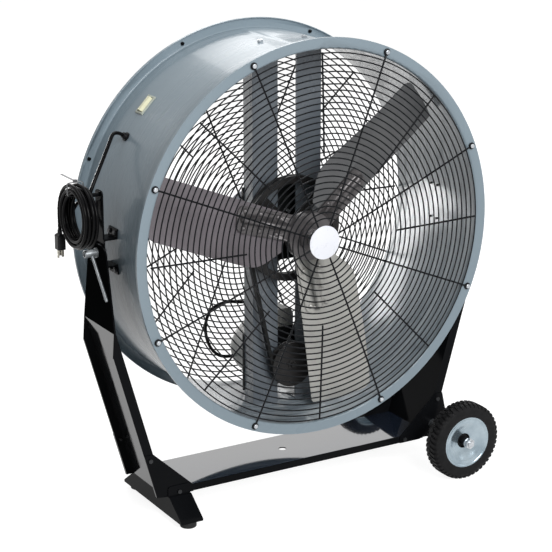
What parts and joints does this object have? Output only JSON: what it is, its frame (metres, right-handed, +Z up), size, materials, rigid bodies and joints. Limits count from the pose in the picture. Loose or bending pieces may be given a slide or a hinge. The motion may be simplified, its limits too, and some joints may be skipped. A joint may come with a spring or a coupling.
{
  "type": "drum fan",
  "caption": "Belt-driven drum fan: a round steel shell with wire guards, propeller, belt and motor inside, tilting between the arms of a wheeled stand, with a coiled mains lead.",
  "frame": {"origin": "on the floor, straight below the drum's centre", "axes": "+Z up; the drum's axis lies along Y and it blows towards -Y; the wheels are on the +X side"},
  "size_m": [1.1154, 0.524, 1.173],
  "materials": {
    "shell_paint": "glossy blue-grey paint",
    "black_wire": "black paint on wire",
    "black_paint": "high-gloss black paint",
    "zinc": "bright zinc plate",
    "rim_zinc": "zinc-plated pressed steel",
    "steel": "ground steel",
    "disc_white": "plain white paint",
    "cast": "black paint on cast iron",
    "cast_aluminium": "as cast",
    "blade_metal": "satin sheet",
    "belt_rubber": "matt black",
    "motor_paint": "silver-cream paint",
    "motor_bell": "silver-cream paint",
    "black_plastic": "black",
    "cream_plastic": "cream",
    "tie_plastic": "black nylon",
    "cord_rubber": "smooth black",
    "brass_pins": "bright",
    "pad_rubber": "dark grey",
    "tyre_rubber": "matt black"
  },
  "bodies": {
    "stand": {"base_channel": "black_paint", "left_arm": "black_paint", "right_arm": "black_paint", "left_gussets": "black_paint", "axle_plates": "black_paint", "stand_bolts": "zinc", "cross_foot": "black_paint", "foot_pads": "pad_rubber", "pad_screws": "zinc", "axle": "steel", "axle_spacers": "zinc", "axle_nuts": "zinc"},
    "front_wheel": {"front_tyre": "tyre_rubber", "front_wheel_rim": "rim_zinc"},
    "rear_wheel": {"rear_tyre": "tyre_rubber", "rear_wheel_rim": "rim_zinc"},
    "drum": {"drum_shell": "shell_paint", "front_guard": "black_wire", "rear_guard": "black_wire", "guard_screws": "zinc", "front_centre_disc": "disc_white", "rear_centre_disc": "disc_white", "left_strut": "black_paint", "right_strut": "black_paint", "bearing_plate": "black_paint", "motor_plate": "black_paint", "drum_bolts": "zinc", "bearing_housing": "cast", "bearings": "steel", "v_belt": "belt_rubber", "motor_shell": "motor_paint", "motor_front_bell": "motor_bell", "motor_rear_bell": "motor_bell", "capacitor_cover": "motor_paint", "left_pivot_bracket": "black_paint", "right_pivot_bracket": "black_paint", "pivot_studs": "steel", "pivot_washers": "zinc", "bracket_bolts": "zinc", "switch_box": "black_plastic", "switch_bezel": "black_plastic", "cord_gland": "black_plastic", "power_cord": "cord_rubber", "cord_coil": "cord_rubber", "plug": "cord_rubber", "plug_prongs": "brass_pins", "cord_tie": "tie_plastic", "motor_lead": "cord_rubber"},
    "propeller": {"fan_shaft": "steel", "propeller_hub": "cast_aluminium", "blade_1": "blade_metal", "blade_2": "blade_metal", "blade_3": "blade_metal", "blade_rivets": "zinc", "fan_pulley": "cast"},
    "motor_rotor": {"motor_shaft": "steel", "motor_pulley": "cast"},
    "left_lever": {"left_lock_lever": "zinc"},
    "right_lever": {"right_lock_lever": "zinc"},
    "rocker": {"switch_rocker": "cream_plastic"}
  },
  "joints": [
    {"name": "drum_tilt", "type": "hinge", "parent": "stand", "child": "drum", "pos_m": [0, 0, 0.683], "axis": [1, 0, 0], "range_deg": [-90, 90]},
    {"name": "propeller_spin", "type": "hinge", "parent": "drum", "child": "propeller", "pos_m": [0, -0.123, 0.683], "axis": [0, 1, 0], "continuous": true},
    {"name": "motor_spin", "type": "hinge", "parent": "drum", "child": "motor_rotor", "pos_m": [0, -0.042, 0.329], "axis": [0, 1, 0], "continuous": true},
    {"name": "front_wheel_spin", "type": "hinge", "parent": "stand", "child": "front_wheel", "pos_m": [0.408, -0.221, 0.1015], "axis": [0, 1, 0], "continuous": true},
    {"name": "rear_wheel_spin", "type": "hinge", "parent": "stand", "child": "rear_wheel", "pos_m": [0.408, 0.221, 0.1015], "axis": [0, 1, 0], "continuous": true},
    {"name": "left_lever_turn", "type": "hinge", "parent": "stand", "child": "left_lever", "pos_m": [-0.521, 0, 0.683], "axis": [1, 0, 0], "range_deg": [-40, 60]},
    {"name": "right_lever_turn", "type": "hinge", "parent": "stand", "child": "right_lever", "pos_m": [0.521, 0, 0.683], "axis": [1, 0, 0], "range_deg": [-40, 60]},
    {"name": "rocker_tip", "type": "hinge", "parent": "drum", "child": "rocker", "pos_m": [-0.3343, 0.075, 1.0047], "axis": [0, 1, 0], "range_deg": [0, 16]}
  ],
  "couplings": [
    {"joint": "motor_spin", "follows": "propeller_spin", "ratio": 2.4218}
  ]
}
